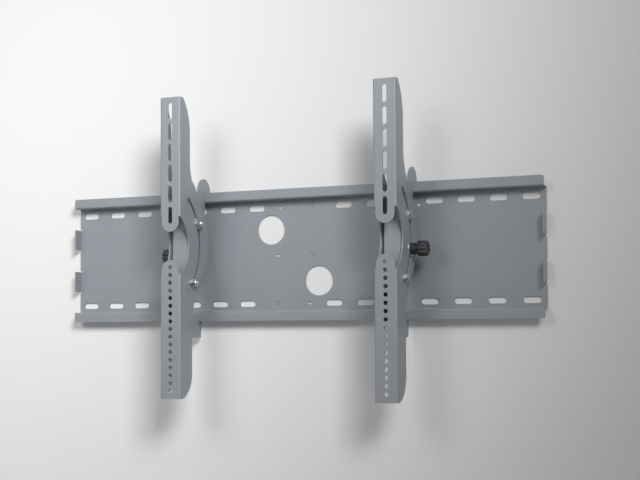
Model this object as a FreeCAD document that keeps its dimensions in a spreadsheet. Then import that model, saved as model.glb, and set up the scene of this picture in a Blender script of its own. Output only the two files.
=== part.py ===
"""Tilting wall bracket for a flat screen.

A long folded wall plate carries two hook brackets. Each hook bracket hangs on the
plate's top rail, is latched behind its bottom rail and carries one upright screen
arm. The arm's side flanges hold an arc slot that slides round two bolts and a
clamping knob, so the screen tilts about a line in front of the arms.

Frame: X runs along the plate, Y points into the wall, Z is up. The origin is the
middle of the plate's back face. All sizes are in millimetres.
"""
import FreeCAD, Part
import math
import os
import Sketcher

Vector = FreeCAD.Vector
Rotation = FreeCAD.Rotation

SIZES = {
    # Wall plate: one folded sheet with a rail along its top and bottom edge.
    "plate_length": 904.0,
    "plate_height": 234.0,
    "plate_sheet": 2.3,
    "lip_stand_off": 22.0,
    "lip_height": 18.3,
    "lip_corner": 4.0,
    "plate_bend": 1.2,
    # Wall slots: four rows of seven, each row regular between its two end slots.
    "wall_slot_rise": 86.0,
    "wall_slot_length": 31.0,
    "wall_slot_width": 11.0,
    "wall_slot_end": 25.0,
    "wide_row_start": 75.0,
    "close_row_start": 93.5,
    "wall_slot_count": 7,
    # Round and narrow openings in the web of the plate.
    "cable_hole_radius": 26.5,
    "cable_hole_offset": 46.4,
    "small_hole_radius": 3.0,
    "small_hole_offset": 28.5,
    "side_hole_rise": 80.0,
    "slit_offset": 33.0,
    "slit_gap": 6.0,
    "slit_width": 2.5,
    "slit_height": 9.0,
    # End tabs stop the hook brackets at the plate's ends.
    "tab_height": 38.0,
    "tab_rise": 40.0,
    "tab_relief": 3.0,
    # Where the two arms stand along the plate.
    "arm_pitch": 400.0,
    "arm_shift": 13.0,
    # Screen arm: one folded channel, open towards the wall.
    "arm_height": 530.0,
    "arm_width": 40.0,
    "arm_sheet": 2.5,
    "arm_bend": 0.8,
    "arm_stand_off": 121.0,
    "arm_rise": 12.0,
    "top_depth": 12.0,
    "top_round": 88.0,
    "upper_depth": 36.0,
    "flare_round": 85.0,
    "bulge_depth": 3.0,
    "bulge_rise": 13.0,
    "bulge_radius": 100.5,
    "lower_flare_round": 120.0,
    "lower_depth": 43.0,
    "bottom_depth": 9.0,
    "bottom_round": 44.0,
    # The gap between the two front plates and the crescent cut in the flanges.
    "tongue_width": 33.0,
    "tongue_end": 27.6,
    "lower_plate_end": 22.4,
    "crescent_radius": 56.5,
    "crescent_rise": 4.0,
    # Holes for the screen's screws.
    "screen_slot_length": 29.5,
    "screen_slot_width": 8.0,
    "screen_slot_pitch": 36.8,
    "screen_slot_margin": 24.4,
    "screen_slot_count": 6,
    "screen_hole_radius": 3.75,
    "screen_hole_pitch": 13.5,
    "screen_hole_margin": 14.0,
    "screen_hole_count": 17,
    # Tilt: the arc slot turns about a line in front of the arm.
    "hinge_ahead": 24.5,
    "hinge_rise": 6.0,
    "slot_radius": 96.5,
    "slot_width": 8.5,
    "slot_top_angle": 55.5,
    "slot_bottom_angle": 54.5,
    "upper_bolt_angle": 23.9,
    "lower_bolt_angle": 44.4,
    "knob_angle": 10.2,
    # Hook bracket: the channel inside the arm.
    "washer_gap": 1.5,
    "hook_sheet": 2.5,
    "hook_bend": 0.8,
    "sleeve_web_gap": 1.45,
    "web_below_rim": 33.0,
    "hook_under_rim": 7.0,
    "ear_radius": 22.0,
    "ear_rise": 3.0,
    "ear_wall_gap": 2.0,
    "hook_play": 0.6,
    "hook_seat_gap": 0.2,
    "finger_clearance": 2.6,
    "heel_below_rim": 38.0,
    "hook_waist_depth": 34.0,
    "hook_behind_pin": 8.0,
    "hook_tail_above_rim": 45.0,
    "hook_corner": 6.0,
    # Fasteners.
    "bolt_radius": 4.0,
    "bolt_hole_play": 0.2,
    "bolt_head_height": 5.3,
    "bolt_hex": 13.0,
    "nut_height": 8.0,
    "nut_collar_height": 1.8,
    "nut_collar_inset": 0.4,
    "bolt_over_nut": 2.0,
    "washer_radius": 8.5,
    "washer_height": 1.6,
    "liner_radius": 10.0,
    "sleeve_radius": 6.0,
    # Clamping knob.
    "knob_collar_radius": 10.0,
    "knob_collar_height": 8.0,
    "knob_neck_radius": 8.6,
    "knob_neck_height": 3.5,
    "knob_head_radius": 13.2,
    "knob_head_height": 17.5,
    "knob_round": 1.6,
    "knob_flutes": 9,
    "knob_flute_radius": 2.6,
    "knob_flute_depth": 1.17,
    "stud_in_knob": 20.0,
    "clamp_washer_radius": 12.0,
    "weld_nut_side": 13.0,
    "weld_nut_height": 6.5,
    "thread_play": 0.05,
    # Latch behind the bottom rail.
    "latch_sheet": 3.0,
    "latch_pin_radius": 2.5,
    "pin_play": 0.05,
    "latch_pin_behind_web": 10.0,
    "latch_pin_above_rim": 6.0,
    "latch_eye_radius": 6.5,
    "latch_lip_gap": 0.4,
    "latch_finger_gap": 1.9,
    "latch_finger_width": 10.0,
    "latch_reach": 10.8,
    "latch_lead": 1.0,
    "latch_corner": 3.0,
    "latch_tail": 30.0,
    "latch_tail_depth": 40.0,
    "pull_hole_radius": 2.5,
    "pull_hole_inset": 4.5,
    "pull_hole_above_tail": 11.05,
    "pin_sleeve_radius": 4.5,
    # Spring that keeps the latch shut.
    "spring_pin_radius": 2.0,
    "spring_pin_behind_web": 12.0,
    "spring_pin_above_rim": 41.0,
    "spring_hole_behind_web": 21.0,
    "spring_hole_above_rim": 8.4,
    "spring_hole_radius": 1.6,
    "spring_radius": 3.2,
    "spring_wire": 0.5,
    "spring_play": 0.05,
    "spring_ring": 2.6,
}

doc = FreeCAD.newDocument("tilting_wall_bracket")
sheet = doc.addObject("Spreadsheet::Sheet", "Sizes")
for row, (alias, number) in enumerate(SIZES.items(), start=1):
    sheet.set("A%d" % row, alias)
    sheet.set("B%d" % row, str(number))
    sheet.setAlias("B%d" % row, alias)
doc.recompute()

PIECES = []


def measure(formula):
    """Return the number that a formula on the sheet's sizes gives now."""
    return float(sheet.evalExpression(formula))


def bind(item, prop, formula):
    """Tie a property to a formula on the sheet's sizes."""
    item.setExpression(prop, formula)


def place(item, x="0", y="0", z="0"):
    """Put a piece at a place given by three formulas."""
    bind(item, "Placement.Base.x", x)
    bind(item, "Placement.Base.y", y)
    bind(item, "Placement.Base.z", z)


def new_body(label):
    """Start one solid piece that is named as it will be exported."""
    body = doc.addObject("PartDesign::Body", label)
    body.Label = label
    PIECES.append(body)
    return body


def new_sketch(body, name, plane):
    """Start a sketch on one of a body's own origin planes."""
    sketch = body.newObject("Sketcher::SketchObject", body.Name + "_" + name)
    support = [item for item in body.Origin.OriginFeatures if item.Role == plane][0]
    sketch.AttachmentSupport = [(support, "")]
    sketch.MapMode = "FlatFace"
    return sketch


def dimension(sketch, kind, refs, formula):
    """Add a driving dimension to a sketch and tie it to a formula."""
    number = measure(formula)
    index = sketch.addConstraint(Sketcher.Constraint(kind, *refs, number))
    bind(sketch, "Constraints[%d]" % index, formula)


def fix_point(sketch, curve, end, across, up):
    """Fix one end of a curve at a place measured from the sketch's origin."""
    for kind, formula in (("DistanceX", across), ("DistanceY", up)):
        if abs(measure(formula)) < 1e-9:
            on_axis = -2 if kind == "DistanceX" else -1
            sketch.addConstraint(Sketcher.Constraint("PointOnObject", curve, end, on_axis))
        else:
            dimension(sketch, kind, (-1, 1, curve, end), formula)


def arc_between(start, end, radius):
    """A short arc from start to end; a positive radius turns anticlockwise."""
    chord = end - start
    half = chord.Length / 2
    sagitta_leg = math.sqrt(max(radius * radius - half * half, 0.0))
    normal = Vector(-chord.y, chord.x, 0).normalize()
    side = 1 if radius > 0 else -1
    centre = (start + end) * 0.5 + normal * (side * sagitta_leg)
    circle = Part.Circle(centre, Vector(0, 0, 1), abs(radius))
    angles = [math.atan2(point.y - centre.y, point.x - centre.x) for point in (start, end)]
    if side < 0:
        angles.reverse()
    return Part.ArcOfCircle(circle, angles[0], angles[1])


def outline(sketch, corners):
    """Draw a closed outline.

    Each corner is (across, up) or (across, up, radius), where the radius bends the
    stretch from that corner to the next one: positive turns anticlockwise. A half
    circle needs no radius of its own, because its two ends already give it.
    """
    points = [Vector(measure(corner[0]), measure(corner[1]), 0) for corner in corners]
    first = sketch.GeometryCount
    ends = []
    for index, corner in enumerate(corners):
        start = points[index]
        end = points[(index + 1) % len(points)]
        if len(corner) == 2:
            sketch.addGeometry(Part.LineSegment(start, end))
            ends.append((1, 2))
        else:
            radius = measure(corner[2])
            curve = sketch.addGeometry(arc_between(start, end, radius))
            ends.append((1, 2) if radius > 0 else (2, 1))
            if (end - start).Length > 2 * abs(radius) - 1e-6:
                level = "Horizontal" if abs(end.y - start.y) < 1e-9 else "Vertical"
                sketch.addConstraint(Sketcher.Constraint(level, curve, 3, curve, 1))
            else:
                size = corner[2] if radius > 0 else "-1 * (%s)" % corner[2]
                dimension(sketch, "Radius", (curve,), size)
    for index, corner in enumerate(corners):
        after = (index + 1) % len(corners)
        joint = (first + index, ends[index][1], first + after, ends[after][0])
        sketch.addConstraint(Sketcher.Constraint("Coincident", *joint))
        fix_point(sketch, first + index, ends[index][0], corner[0], corner[1])


def box_outline(sketch, left, right, low, high):
    """Draw a rectangle between four formulas."""
    outline(sketch, [(left, low), (right, low), (right, high), (left, high)])


def ring(sketch, across, up, radius):
    """Draw a circle."""
    centre = Vector(measure(across), measure(up), 0)
    curve = sketch.addGeometry(Part.Circle(centre, Vector(0, 0, 1), measure(radius)))
    dimension(sketch, "Radius", (curve,), radius)
    fix_point(sketch, curve, 3, across, up)


def long_hole(sketch, across, up, length, width, upright=False):
    """Draw a slot with round ends, level or upright, about its middle."""
    half = "(%s - %s) / 2" % (length, width)
    end = "%s / 2" % width
    if upright:
        left, right = "%s - %s" % (across, end), "%s + %s" % (across, end)
        low, high = "%s - %s" % (up, half), "%s + %s" % (up, half)
        outline(sketch, [(right, low), (right, high, end), (left, high), (left, low, end)])
    else:
        left, right = "%s - %s" % (across, half), "%s + %s" % (across, half)
        low, high = "%s - %s" % (up, end), "%s + %s" % (up, end)
        outline(sketch, [(left, low), (right, low, end), (right, high), (left, high, end)])


def pad(body, sketch, length, both_ways=False, back=False):
    """Raise a sketch to a solid."""
    feature = body.newObject("PartDesign::Pad", sketch.Name + "_pad")
    feature.Profile = sketch
    feature.Midplane = both_ways
    feature.Reversed = back
    bind(feature, "Length", length)
    sketch.Visibility = False
    doc.recompute()
    return feature


def pocket(body, sketch, length=None, back=False):
    """Cut a sketch through the whole body, or to a depth in one direction."""
    before = body.Tip.Shape.Volume
    feature = body.newObject("PartDesign::Pocket", sketch.Name + "_cut")
    feature.Profile = sketch
    if length is None:
        feature.Type = "ThroughAll"
        feature.Midplane = True
    else:
        feature.Reversed = back
        bind(feature, "Length", length)
    sketch.Visibility = False
    doc.recompute()
    if feature.Shape.Volume > before - 1e-6:
        raise RuntimeError("%s cuts nothing" % feature.Name)
    return feature


def repeat(body, feature, sketch, axis, span, count):
    """Repeat a cut in a straight row whose first and last are a span apart."""
    pattern = body.newObject("PartDesign::LinearPattern", sketch.Name + "_row")
    pattern.Originals = [feature]
    pattern.Direction = (sketch, [axis])
    bind(pattern, "Length", span)
    bind(pattern, "Occurrences", count)
    body.Tip = pattern
    doc.recompute()
    return pattern


def edges_at(shape, direction, places):
    """Name the straight edges along a direction that pass through given places.

    Each place holds a number for the coordinates that count and None for others.
    """
    names = []
    for index, edge in enumerate(shape.Edges, start=1):
        if not isinstance(edge.Curve, (Part.Line, Part.LineSegment)):
            continue
        if abs(abs(edge.Curve.Direction.dot(direction)) - 1) > 1e-6:
            continue
        middle = edge.valueAt((edge.FirstParameter + edge.LastParameter) / 2)
        for target in places:
            gaps = [abs(a - b) for a, b in zip(middle, target) if b is not None]
            if max(gaps) < 0.02:
                names.append("Edge%d" % index)
                break
    return names


def fillet(body, radius, direction, places):
    """Round the straight edges that pass through the given places."""
    base = body.Tip
    names = edges_at(base.Shape, direction, places)
    if not names:
        raise RuntimeError("%s has no edge to round" % body.Name)
    feature = body.newObject("PartDesign::Fillet", "%s_round%d" % (body.Name, len(body.Group)))
    feature.Base = (base, names)
    bind(feature, "Radius", radius)
    doc.recompute()
    return feature


ALONG_X = Vector(1, 0, 0)
ALONG_Y = Vector(0, 1, 0)
ALONG_Z = Vector(0, 0, 1)


def wall_plate():
    """The folded plate: web, ledges, rail lips, end tabs, slots and cable holes."""
    body = new_body("wall_plate")
    lip_front = "-Sizes.lip_stand_off"
    lip_back = "-(Sizes.lip_stand_off - Sizes.plate_sheet)"
    web_front = "-Sizes.plate_sheet"
    edge = "Sizes.plate_height / 2"
    ledge_low = "(Sizes.plate_height / 2 - Sizes.lip_height)"
    ledge_high = "(%s + Sizes.plate_sheet)" % ledge_low
    section = new_sketch(body, "section", "YZ_Plane")
    outline(section, [
        (lip_front, ledge_low), (web_front, ledge_low),
        (web_front, "-" + ledge_low), (lip_front, "-" + ledge_low),
        (lip_front, "-(%s)" % edge), (lip_back, "-(%s)" % edge),
        (lip_back, "-" + ledge_high), ("0", "-" + ledge_high),
        ("0", ledge_high), (lip_back, ledge_high),
        (lip_back, edge), (lip_front, edge),
    ])
    pad(body, section, "Sizes.plate_length", both_ways=True)
    low, high = measure(ledge_low), measure(ledge_high)
    front, back = measure(lip_front), measure(lip_back)
    inner = [(None, measure(web_front), low), (None, back, high)]
    outer = [(None, 0.0, high), (None, front, low)]
    for group, radius in ((inner, "Sizes.plate_bend"),
                          (outer, "Sizes.plate_bend + Sizes.plate_sheet")):
        both = group + [(x, y, -z) for x, y, z in group]
        fillet(body, radius, ALONG_X, both)

    tabs = new_sketch(body, "tabs", "XZ_Plane")
    half = "Sizes.plate_length / 2"
    for side in ("", "-"):
        for level in ("", "-"):
            outer_x = "%s(%s)" % (side, half)
            inner_x = "%s(%s - Sizes.plate_sheet)" % (side, half)
            middle = "%sSizes.tab_rise" % level
            bottom = "%s - Sizes.tab_height / 2" % middle
            top = "%s + Sizes.tab_height / 2" % middle
            corners = [(inner_x, bottom), (outer_x, bottom), (outer_x, top), (inner_x, top)]
            outline(tabs, corners)
    pad(body, tabs, "Sizes.lip_stand_off")

    relief = new_sketch(body, "tab_reliefs", "XZ_Plane")
    for side in ("", "-"):
        for level in ("", "-"):
            for end in ("-", "+"):
                across = "%s(%s)" % (side, half)
                up = "%sSizes.tab_rise %s (Sizes.tab_height + Sizes.tab_relief) / 2" % (level, end)
                long_hole(relief, across, up, "3 * Sizes.tab_relief", "Sizes.tab_relief")
    pocket(body, relief)
    x_end = measure(half)
    sheet_now = measure("Sizes.plate_sheet")
    rise = measure("Sizes.tab_rise")
    outside = [(sx * x_end, 0.0, sz * rise) for sx in (1, -1) for sz in (1, -1)]
    inside = [(sx * (x_end - sheet_now), -sheet_now, sz * rise) for sx in (1, -1) for sz in (1, -1)]
    fillet(body, "Sizes.plate_bend + Sizes.plate_sheet", ALONG_Z, outside)
    fillet(body, "Sizes.plate_bend", ALONG_Z, inside)
    corners = [(sx * x_end, None, sz * measure(edge)) for sx in (1, -1) for sz in (1, -1)]
    fillet(body, "Sizes.lip_corner", ALONG_Y, corners)

    last = "(%s - Sizes.wall_slot_end)" % half
    rows = (("wide", "top", "-" + last, "-Sizes.wide_row_start", "Sizes.wall_slot_rise"),
            ("close", "top", "Sizes.close_row_start", last, "Sizes.wall_slot_rise"),
            ("close", "bottom", "-" + last, "-Sizes.close_row_start", "-Sizes.wall_slot_rise"),
            ("wide", "bottom", "Sizes.wide_row_start", last, "-Sizes.wall_slot_rise"))
    for kind, level, first_x, last_x, up in rows:
        slot = new_sketch(body, "%s_%s_slot" % (level, kind), "XZ_Plane")
        long_hole(slot, first_x, up, "Sizes.wall_slot_length", "Sizes.wall_slot_width")
        cut = pocket(body, slot)
        repeat(body, cut, slot, "H_Axis", "%s - (%s)" % (last_x, first_x),
               "Sizes.wall_slot_count")

    holes = new_sketch(body, "round_holes", "XZ_Plane")
    for side, level in (("-", ""), ("", "-")):
        ring(holes, "%sSizes.cable_hole_offset" % side, "%sSizes.cable_hole_offset" % level,
             "Sizes.cable_hole_radius")
        ring(holes, "%sSizes.small_hole_offset" % side, "%sSizes.wall_slot_rise" % level,
             "Sizes.small_hole_radius")
    pitch = "(%s - Sizes.close_row_start) / (Sizes.wall_slot_count - 1)" % last
    between = "(Sizes.close_row_start + 2.5 * %s)" % pitch
    for side, level in (("", ""), ("-", "-")):
        ring(holes, side + between, "%sSizes.side_hole_rise" % level, "Sizes.small_hole_radius")
    ring(holes, "-Sizes.slit_offset", "0", "Sizes.small_hole_radius")
    pocket(body, holes)

    slits = new_sketch(body, "slits", "XZ_Plane")
    places = (("", "Sizes.wall_slot_rise"), ("", "0"), ("-", "-Sizes.wall_slot_rise"))
    for side, up in places:
        for end in ("-", "+"):
            middle = "%sSizes.slit_offset %s Sizes.slit_gap / 2" % (side, end)
            box_outline(slits, "%s - Sizes.slit_width / 2" % middle,
                        "%s + Sizes.slit_width / 2" % middle,
                        "%s - Sizes.slit_height / 2" % up, "%s + Sizes.slit_height / 2" % up)
    pocket(body, slits)
    return body


def side_name(side):
    """The name of a side: minus one is left, plus one is right."""
    return "left" if side < 0 else "right"


def arm_middle(side):
    """Formula for the place of an arm's middle along the plate."""
    return "Sizes.arm_shift %s Sizes.arm_pitch / 2" % ("-" if side < 0 else "+")


RIM = "(Sizes.plate_height / 2)"
HINGE_Y = "(-Sizes.arm_stand_off - Sizes.hinge_ahead)"
HINGE_Z = "(Sizes.arm_rise + Sizes.hinge_rise)"
HOOK_HALF = "(Sizes.arm_width / 2 - Sizes.arm_sheet - Sizes.washer_gap)"
HOOK_INSIDE = "(%s - Sizes.hook_sheet)" % HOOK_HALF


def on_slot(angle):
    """Formulas for the place on the arc slot at an angle above the hinge's level."""
    across = "%s + Sizes.slot_radius * cos(%s)" % (HINGE_Y, angle)
    up = "%s + Sizes.slot_radius * sin(%s)" % (HINGE_Z, angle)
    return across, up


UPPER_BOLT = on_slot("Sizes.upper_bolt_angle")
LOWER_BOLT = on_slot("-Sizes.lower_bolt_angle")
KNOB = on_slot("-Sizes.knob_angle")
BEHIND_WEB = "(%s - Sizes.sleeve_radius - Sizes.sleeve_web_gap)" % LOWER_BOLT[0]
LATCH_PIN = ("%s + Sizes.latch_pin_behind_web" % BEHIND_WEB,
             "-(%s - Sizes.latch_pin_above_rim)" % RIM)
SPRING_PIN = ("%s + Sizes.spring_pin_behind_web" % BEHIND_WEB,
              "-(%s - Sizes.spring_pin_above_rim)" % RIM)
SPRING_HOLE = ("%s + Sizes.spring_hole_behind_web" % BEHIND_WEB,
               "-(%s - Sizes.spring_hole_above_rim)" % RIM)


def arm_side_outline(sketch):
    """Draw the side view of the arm's flange: front edge, flared rear edge and bulge.

    Its origin is on the front face, half way up the arm. The rear edge is one smooth
    chain of arcs, each tangent to the next.
    """
    half = measure("Sizes.arm_height / 2")
    upper, lower = measure("Sizes.upper_depth"), measure("Sizes.lower_depth")
    top_depth, top_round = measure("Sizes.top_depth"), measure("Sizes.top_round")
    end_depth, end_round = measure("Sizes.bottom_depth"), measure("Sizes.bottom_round")
    bulge = Vector(measure("Sizes.bulge_depth"), measure("Sizes.bulge_rise"), 0)
    radius = measure("Sizes.bulge_radius")
    flares = (measure("Sizes.flare_round"), measure("Sizes.lower_flare_round"))

    top_drop = math.sqrt(top_round ** 2 - (top_round - upper + top_depth) ** 2)
    end_lift = math.sqrt(end_round ** 2 - (end_round - lower + end_depth) ** 2)
    centres = []
    for flare, depth, way in ((flares[0], upper, 1), (flares[1], lower, -1)):
        across = depth + flare - bulge.x
        centres.append(Vector(depth + flare,
                              bulge.y + way * math.sqrt((radius + flare) ** 2 - across ** 2), 0))
    meets = [bulge + (centre - bulge).normalize() * radius for centre in centres]

    points = [Vector(0, -half, 0), Vector(0, half, 0), Vector(top_depth, half, 0),
              Vector(upper, half - top_drop, 0), Vector(upper, centres[0].y, 0), meets[0],
              meets[1], Vector(lower, centres[1].y, 0), Vector(lower, -half + end_lift, 0),
              Vector(end_depth, -half, 0)]
    rounds = {2: -top_round, 4: flares[0], 5: -radius, 6: flares[1], 8: -end_round}
    ends = []
    for index, start in enumerate(points):
        end = points[(index + 1) % len(points)]
        if index in rounds:
            sketch.addGeometry(arc_between(start, end, rounds[index]))
            ends.append((1, 2) if rounds[index] > 0 else (2, 1))
        else:
            sketch.addGeometry(Part.LineSegment(start, end))
            ends.append((1, 2))
    smooth = (2, 3, 4, 5, 6, 7)
    for index in range(len(points)):
        after = (index + 1) % len(points)
        kind = "Tangent" if index in smooth else "Coincident"
        joint = (index, ends[index][1], after, ends[after][0])
        sketch.addConstraint(Sketcher.Constraint(kind, *joint))
    for index in (0, 3, 7):
        sketch.addConstraint(Sketcher.Constraint("Vertical", index))
    for index in (1, 9):
        sketch.addConstraint(Sketcher.Constraint("Horizontal", index))
    fix_point(sketch, 0, 1, "0", "-Sizes.arm_height / 2")
    dimension(sketch, "DistanceY", (-1, 1, 0, 2), "Sizes.arm_height / 2")
    dimension(sketch, "DistanceX", (-1, 1, 1, 2), "Sizes.top_depth")
    dimension(sketch, "DistanceX", (-1, 1, 3, 1), "Sizes.upper_depth")
    dimension(sketch, "DistanceX", (-1, 1, 7, 1), "Sizes.lower_depth")
    dimension(sketch, "DistanceX", (-1, 1, 9, 1), "Sizes.bottom_depth")
    fix_point(sketch, 5, 3, "Sizes.bulge_depth", "Sizes.bulge_rise")
    names = {2: "top_round", 4: "flare_round", 5: "bulge_radius", 6: "lower_flare_round",
             8: "bottom_round"}
    for index, name in names.items():
        dimension(sketch, "Radius", (index,), "Sizes." + name)


def arc_slot_outline(sketch):
    """Draw the long arc slot that the tilt bolts run in."""
    centre = ("-Sizes.hinge_ahead", "Sizes.hinge_rise")
    middle = Vector(measure(centre[0]), measure(centre[1]), 0)
    radius, half = measure("Sizes.slot_radius"), measure("Sizes.slot_width / 2")
    low = math.radians(-measure("Sizes.slot_bottom_angle"))
    high = math.radians(measure("Sizes.slot_top_angle"))
    up = Vector(0, 0, 1)

    def spot(size, angle):
        return middle + Vector(size * math.cos(angle), size * math.sin(angle), 0)

    outer = sketch.addGeometry(Part.ArcOfCircle(Part.Circle(middle, up, radius + half), low, high))
    top = sketch.addGeometry(Part.ArcOfCircle(
        Part.Circle(spot(radius, high), up, half), high, high + math.pi))
    inner = sketch.addGeometry(Part.ArcOfCircle(Part.Circle(middle, up, radius - half), low, high))
    bottom = sketch.addGeometry(Part.ArcOfCircle(
        Part.Circle(spot(radius, low), up, half), low - math.pi, low))
    for joint in ((outer, 2, top, 1), (top, 2, inner, 2), (inner, 1, bottom, 1), (bottom, 2, outer, 1)):
        sketch.addConstraint(Sketcher.Constraint("Tangent", *joint))
    sketch.addConstraint(Sketcher.Constraint("Coincident", outer, 3, inner, 3))
    fix_point(sketch, outer, 3, *centre)
    dimension(sketch, "Radius", (outer,), "Sizes.slot_radius + Sizes.slot_width / 2")
    dimension(sketch, "Radius", (inner,), "Sizes.slot_radius - Sizes.slot_width / 2")
    for arc, angle in ((top, "Sizes.slot_top_angle"), (bottom, "-Sizes.slot_bottom_angle")):
        dimension(sketch, "DistanceY", (-1, 1, arc, 3),
                  "Sizes.hinge_rise + Sizes.slot_radius * sin(%s)" % angle)


def screen_arm(side):
    """One folded arm: upper and lower front plate, and two flanges with arc slots."""
    body = new_body("%s_screen_arm" % side_name(side))
    place(body, arm_middle(side), "-Sizes.arm_stand_off", "Sizes.arm_rise")
    half_width = measure("Sizes.arm_width / 2")
    sheet_now = measure("Sizes.arm_sheet")

    view = new_sketch(body, "side_view", "YZ_Plane")
    arm_side_outline(view)
    pad(body, view, "Sizes.arm_width", both_ways=True)
    corners = [(sign * half_width, 0.0, None) for sign in (1, -1)]
    fillet(body, "Sizes.arm_bend + Sizes.arm_sheet", ALONG_Z, corners)

    hollow = new_sketch(body, "hollow", "XY_Plane")
    inside = "(Sizes.arm_width / 2 - Sizes.arm_sheet)"
    box_outline(hollow, "-" + inside, inside, "Sizes.arm_sheet",
                "Sizes.bulge_depth + Sizes.bulge_radius + Sizes.arm_sheet")
    pocket(body, hollow)
    corners = [(sign * (half_width - sheet_now), sheet_now, None) for sign in (1, -1)]
    fillet(body, "Sizes.arm_bend", ALONG_Z, corners)

    crescent = new_sketch(body, "crescent", "YZ_Plane")
    ring(crescent, "-Sizes.hinge_ahead", "Sizes.crescent_rise", "Sizes.crescent_radius")
    pocket(body, crescent)

    tongues = new_sketch(body, "tongues", "XZ_Plane")
    reach = "sqrt(pow(Sizes.crescent_radius; 2) - pow(Sizes.hinge_ahead; 2))"
    half = "Sizes.tongue_width / 2"
    upper_root = "Sizes.crescent_rise + %s + 2 * Sizes.arm_sheet" % reach
    lower_root = "Sizes.crescent_rise - %s - 2 * Sizes.arm_sheet" % reach
    upper_tip = "Sizes.tongue_end + %s" % half
    lower_tip = "-Sizes.lower_plate_end - %s" % half
    outline(tongues, [("-" + half, upper_root), ("-" + half, upper_tip, half),
                      (half, upper_tip), (half, upper_root)])
    outline(tongues, [(half, lower_root), (half, lower_tip, half),
                      ("-" + half, lower_tip), ("-" + half, lower_root)])
    pad(body, tongues, "Sizes.arm_sheet", back=True)

    arc_slot = new_sketch(body, "arc_slot", "YZ_Plane")
    arc_slot_outline(arc_slot)
    pocket(body, arc_slot)

    slots = new_sketch(body, "screen_slot", "XZ_Plane")
    first = "Sizes.arm_height / 2 - Sizes.screen_slot_margin"
    long_hole(slots, "0", first, "Sizes.screen_slot_length", "Sizes.screen_slot_width", upright=True)
    cut = pocket(body, slots)
    row = repeat(body, cut, slots, "V_Axis",
                 "(Sizes.screen_slot_count - 1) * Sizes.screen_slot_pitch",
                 "Sizes.screen_slot_count")
    row.Reversed = True
    doc.recompute()

    holes = new_sketch(body, "screen_hole", "XZ_Plane")
    ring(holes, "0", "-(Sizes.arm_height / 2 - Sizes.screen_hole_margin)", "Sizes.screen_hole_radius")
    cut = pocket(body, holes)
    repeat(body, cut, holes, "V_Axis", "(Sizes.screen_hole_count - 1) * Sizes.screen_hole_pitch",
           "Sizes.screen_hole_count")
    return body


def hook_bracket(side):
    """The channel inside the arm, with a round ear on each flange over the top rail."""
    body = new_body("%s_hook_bracket" % side_name(side))
    place(body, arm_middle(side))
    web = "(%s - Sizes.hook_sheet)" % BEHIND_WEB
    ear_middle = "-Sizes.ear_radius - Sizes.ear_wall_gap"
    ear_level = "%s + Sizes.ear_rise" % RIM
    finger_front = "-(Sizes.lip_stand_off - Sizes.plate_sheet - Sizes.hook_play)"
    heel = "-(Sizes.lip_stand_off + Sizes.hook_play)"
    finger_end = "%s - Sizes.lip_height + Sizes.plate_sheet + Sizes.finger_clearance" % RIM
    seat = "%s + Sizes.hook_seat_gap" % RIM
    tail = "%s + Sizes.hook_behind_pin" % LATCH_PIN[0]
    waist = "-Sizes.hook_waist_depth"
    bottom = "-(%s + Sizes.hook_under_rim)" % RIM
    corners = [
        (web, bottom), (tail, bottom),
        (tail, "-(%s - Sizes.hook_tail_above_rim)" % RIM), (waist, "0"),
        (heel, "%s - Sizes.heel_below_rim" % RIM), (heel, seat), (finger_front, seat),
        (finger_front, finger_end), ("%s + Sizes.ear_radius" % ear_middle, finger_end),
        ("%s + Sizes.ear_radius" % ear_middle, ear_level, "Sizes.ear_radius"),
        ("%s - Sizes.ear_radius" % ear_middle, ear_level),
        (web, "%s - Sizes.web_below_rim" % RIM),
    ]
    view = new_sketch(body, "side_view", "YZ_Plane")
    outline(view, corners)
    pad(body, view, "2 * %s" % HOOK_HALF, both_ways=True)
    spots = [(None, measure(corners[index][0]), measure(corners[index][1]))
             for index in (1, 2, 3, 4, 10)]
    fillet(body, "Sizes.hook_corner", ALONG_X, spots)
    tips = [(None, measure(corners[index][0]), measure(corners[index][1])) for index in (7, 8)]
    fillet(body, "Sizes.hook_sheet", ALONG_X, tips)
    half = measure(HOOK_HALF)
    sides = [(sign * half, measure(web), None) for sign in (1, -1)]
    fillet(body, "Sizes.hook_bend + Sizes.hook_sheet", ALONG_Z, sides)

    hollow = new_sketch(body, "hollow", "XY_Plane")
    box_outline(hollow, "-" + HOOK_INSIDE, HOOK_INSIDE, BEHIND_WEB, "0")
    pocket(body, hollow)
    corners = [(sign * measure(HOOK_INSIDE), measure(BEHIND_WEB), None)
               for sign in (1, -1)]
    fillet(body, "Sizes.hook_bend", ALONG_Z, corners)

    holes = new_sketch(body, "holes", "YZ_Plane")
    for spot in (UPPER_BOLT, LOWER_BOLT, KNOB):
        ring(holes, spot[0], spot[1], "Sizes.bolt_radius + Sizes.bolt_hole_play")
    ring(holes, *LATCH_PIN, "Sizes.latch_pin_radius + Sizes.pin_play")
    ring(holes, *SPRING_PIN, "Sizes.spring_pin_radius + Sizes.pin_play")
    pocket(body, holes)
    return body


def turned(label, x, spot, profile, turn=0):
    """A turned piece on an axis along X.

    The profile lists (distance along the axis, radius) corners. A piece on the left
    side is turned round to face outwards.
    """
    body = new_body(label)
    place(body, x, spot[0], spot[1])
    if turn:
        body.Placement = FreeCAD.Placement(body.Placement.Base, Rotation(ALONG_Z, 180))
    section = new_sketch(body, "section", "XZ_Plane")
    outline(section, profile)
    solid = body.newObject("PartDesign::Revolution", label + "_turned")
    solid.Profile = section
    solid.ReferenceAxis = (section, ["H_Axis"])
    solid.Angle = 360
    section.Visibility = False
    doc.recompute()
    return body


def tube_profile(start, length, inner, outer):
    """Profile of a plain washer, liner or sleeve."""
    end = "%s + %s" % (start, length)
    return [(start, inner), (end, inner), (end, outer), (start, outer)]


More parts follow.
